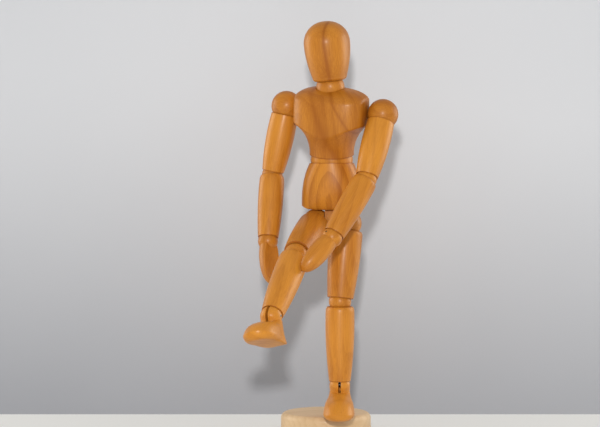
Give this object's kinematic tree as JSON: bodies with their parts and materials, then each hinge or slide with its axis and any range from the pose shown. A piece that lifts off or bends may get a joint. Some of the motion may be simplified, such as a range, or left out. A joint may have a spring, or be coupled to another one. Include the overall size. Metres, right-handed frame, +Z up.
{
  "type": "wooden drawing mannequin",
  "caption": "Jointed wooden drawing figure on a round stand, its limbs held to balls by springs inside, posed on one leg with a hand at the raised knee.",
  "frame": {"origin": "middle of the base's underside", "axes": "+Z up, the figure faces -Y and its own left is +X"},
  "size_m": [0.1077, 0.1772, 0.2994],
  "materials": {
    "figure_wood": "satin varnish",
    "base_wood": "satin varnish",
    "steel": "drawn wire"
  },
  "bodies": {
    "stand": {"base": "base_wood", "support_rod": "steel"},
    "hips": {"pelvis": "figure_wood", "pelvis_hook": "steel", "hip_spring": "steel"},
    "waist": {"waist_ball": "figure_wood", "waist_pin": "steel"},
    "chest": {"chest": "figure_wood", "torso_spring": "steel", "shoulder_spring": "steel"},
    "neck": {"neck": "figure_wood", "neck_pin": "steel"},
    "head": {"head": "figure_wood", "head_hook": "steel"},
    "right_shoulder": {"right_shoulder_ball": "figure_wood", "right_shoulder_pin": "steel"},
    "right_upper_arm": {"right_upper_arm": "figure_wood", "right_upper_arm_spring": "steel"},
    "right_elbow": {"right_elbow_ball": "figure_wood", "right_elbow_pin": "steel"},
    "right_forearm": {"right_forearm": "figure_wood", "right_forearm_spring": "steel"},
    "right_wrist": {"right_wrist_hook": "steel"},
    "right_hand": {"right_hand": "figure_wood", "right_hand_pin": "steel"},
    "left_shoulder": {"left_shoulder_ball": "figure_wood", "left_shoulder_pin": "steel"},
    "left_upper_arm": {"left_upper_arm": "figure_wood", "left_upper_arm_spring": "steel"},
    "left_elbow": {"left_elbow_ball": "figure_wood", "left_elbow_pin": "steel"},
    "left_forearm": {"left_forearm": "figure_wood", "left_forearm_spring": "steel"},
    "left_wrist": {"left_wrist_hook": "steel"},
    "left_hand": {"left_hand": "figure_wood", "left_hand_pin": "steel"},
    "right_hip": {"right_hip_ball": "figure_wood", "right_hip_pin": "steel"},
    "right_thigh": {"right_thigh": "figure_wood", "right_thigh_spring": "steel"},
    "right_knee": {"right_knee_ball": "figure_wood", "right_knee_pin": "steel"},
    "right_shin": {"right_shin": "figure_wood", "right_shin_spring": "steel"},
    "right_ankle": {"right_ankle_hook": "steel"},
    "right_foot": {"right_foot": "figure_wood", "right_foot_pin": "steel"},
    "left_hip": {"left_hip_ball": "figure_wood", "left_hip_pin": "steel"},
    "left_thigh": {"left_thigh": "figure_wood", "left_thigh_spring": "steel"},
    "left_knee": {"left_knee_ball": "figure_wood", "left_knee_pin": "steel"},
    "left_shin": {"left_shin": "figure_wood", "left_shin_spring": "steel"},
    "left_ankle": {"left_ankle_hook": "steel"},
    "left_foot": {"left_foot": "figure_wood", "left_foot_pin": "steel"}
  },
  "joints": [
    {"name": "figure_turn", "type": "hinge", "parent": "stand", "child": "hips", "pos_m": [0.00566, -0.00513, 0.15409], "axis": [0, 0, 1], "continuous": true},
    {"name": "waist_turn", "type": "hinge", "parent": "hips", "child": "waist", "pos_m": [0.004, -0.016, 0.20009], "axis": [0, 0, 1], "range_deg": [0, 24]},
    {"name": "waist_bend", "type": "hinge", "parent": "waist", "child": "chest", "pos_m": [0.004, -0.016, 0.20009], "axis": [-0.9253, 0.3682, 0.0906], "range_deg": [-1, 24]},
    {"name": "neck_nod", "type": "hinge", "parent": "chest", "child": "neck", "pos_m": [0.00283, -0.02846, 0.25202], "axis": [-0.9253, 0.3682, 0.0906], "range_deg": [-23, 15]},
    {"name": "head_turn", "type": "hinge", "parent": "neck", "child": "head", "pos_m": [0.00283, -0.02846, 0.25202], "axis": [-0.0891, -0.113, 0.9896], "range_deg": [-75, 75]},
    {"name": "right_shoulder_swing", "type": "hinge", "parent": "chest", "child": "right_shoulder", "pos_m": [-0.02881, -0.00681, 0.23934], "axis": [0.9253, -0.3682, -0.0906], "range_deg": [-100, 60]},
    {"name": "right_arm_raise", "type": "hinge", "parent": "right_shoulder", "child": "right_upper_arm", "pos_m": [-0.02881, -0.00681, 0.23934], "axis": [0.3657, 0.9297, -0.0434], "range_deg": [-5, 21]},
    {"name": "right_elbow_twist", "type": "hinge", "parent": "right_upper_arm", "child": "right_elbow", "pos_m": [-0.03923, -0.00504, 0.18945], "axis": [-0.2044, 0.0347, -0.9783], "range_deg": [-60, 60]},
    {"name": "right_elbow_bend", "type": "hinge", "parent": "right_elbow", "child": "right_forearm", "pos_m": [-0.03923, -0.00504, 0.18945], "axis": [-0.9195, -0.3496, 0.1797], "range_deg": [-31, 0]},
    {"name": "right_wrist_twist", "type": "hinge", "parent": "right_forearm", "child": "right_wrist", "pos_m": [-0.04214, -0.0221, 0.14137], "axis": [0.0569, 0.3339, 0.9409], "range_deg": [-90, 90]},
    {"name": "right_wrist_bend", "type": "hinge", "parent": "right_wrist", "child": "right_hand", "pos_m": [-0.04214, -0.0221, 0.14137], "axis": [0.7068, 0.6521, -0.2742], "range_deg": [-41, 45]},
    {"name": "right_hip_swing", "type": "hinge", "parent": "hips", "child": "right_hip", "pos_m": [-0.00717, -0.01429, 0.15409], "axis": [-0.9885, 0.1513, 0], "range_deg": [-18, 2]},
    {"name": "right_leg_spread", "type": "hinge", "parent": "right_hip", "child": "right_thigh", "pos_m": [-0.00717, -0.01429, 0.15409], "axis": [0.0542, 0.3542, -0.9336], "range_deg": [0, 16]},
    {"name": "right_knee_twist", "type": "hinge", "parent": "right_thigh", "child": "right_knee", "pos_m": [-0.02188, -0.0653, 0.13389], "axis": [-0.2589, -0.898, -0.3558], "range_deg": [-45, 6]},
    {"name": "right_knee_bend", "type": "hinge", "parent": "right_knee", "child": "right_shin", "pos_m": [-0.02188, -0.0653, 0.13389], "axis": [0.961, -0.2024, -0.1886], "range_deg": [-4, 11]},
    {"name": "right_ankle_twist", "type": "hinge", "parent": "right_shin", "child": "right_ankle", "pos_m": [-0.03859, -0.10748, 0.09401], "axis": [0.2766, 0.6983, 0.6602], "range_deg": [-60, 60]},
    {"name": "right_ankle_bend", "type": "hinge", "parent": "right_ankle", "child": "right_foot", "pos_m": [-0.03859, -0.10748, 0.09401], "axis": [-0.908, 0.4149, -0.0584], "range_deg": [-4, 45]},
    {"name": "left_shoulder_swing", "type": "hinge", "parent": "chest", "child": "left_shoulder", "pos_m": [0.04022, -0.03428, 0.23258], "axis": [0.9253, -0.3682, -0.0906], "range_deg": [-90, 1]},
    {"name": "left_arm_raise", "type": "hinge", "parent": "left_shoulder", "child": "left_upper_arm", "pos_m": [0.04022, -0.03428, 0.23258], "axis": [-0.3011, -0.8587, 0.4148], "range_deg": [0, 29]},
    {"name": "left_elbow_twist", "type": "hinge", "parent": "left_upper_arm", "child": "left_elbow", "pos_m": [0.02771, -0.05216, 0.18648], "axis": [-0.2452, -0.3506, -0.9039], "range_deg": [-60, 1]},
    {"name": "left_elbow_bend", "type": "hinge", "parent": "left_elbow", "child": "left_forearm", "pos_m": [0.02771, -0.05216, 0.18648], "axis": [0.2851, -0.9172, 0.2784], "range_deg": [-1, 23]},
    {"name": "left_wrist_twist", "type": "hinge", "parent": "left_forearm", "child": "left_wrist", "pos_m": [0.00331, -0.07198, 0.1462], "axis": [0.4777, 0.3878, 0.7883], "range_deg": [-8, 80]},
    {"name": "left_wrist_bend", "type": "hinge", "parent": "left_wrist", "child": "left_hand", "pos_m": [0.00331, -0.07198, 0.1462], "axis": [0.5853, 0.5287, -0.6148], "range_deg": [-45, 1]},
    {"name": "left_hip_swing", "type": "hinge", "parent": "hips", "child": "left_hip", "pos_m": [0.01517, -0.01771, 0.15409], "axis": [-0.9885, 0.1513, 0], "range_deg": [-2, 17]},
    {"name": "left_leg_spread", "type": "hinge", "parent": "left_hip", "child": "left_thigh", "pos_m": [0.01517, -0.01771, 0.15409], "axis": [0.1498, 0.9789, -0.1392], "range_deg": [-25, 0]},
    {"name": "left_knee_twist", "type": "hinge", "parent": "left_thigh", "child": "left_knee", "pos_m": [0.00987, -0.02487, 0.098], "axis": [-0.0934, -0.1261, -0.9876], "range_deg": [-45, 45]},
    {"name": "left_knee_bend", "type": "hinge", "parent": "left_knee", "child": "left_shin", "pos_m": [0.00987, -0.02487, 0.098], "axis": [0.7883, -0.6153, 0.004], "range_deg": [-17, 7]},
    {"name": "left_ankle_twist", "type": "hinge", "parent": "left_shin", "child": "left_ankle", "pos_m": [0.00972, -0.02546, 0.0376], "axis": [0.0025, 0.0097, 0.9999], "range_deg": [-45, 60]},
    {"name": "left_ankle_bend", "type": "hinge", "parent": "left_ankle", "child": "left_foot", "pos_m": [0.00972, -0.02546, 0.0376], "axis": [0.9986, -0.0523, 0], "range_deg": [-12, 8]}
  ]
}
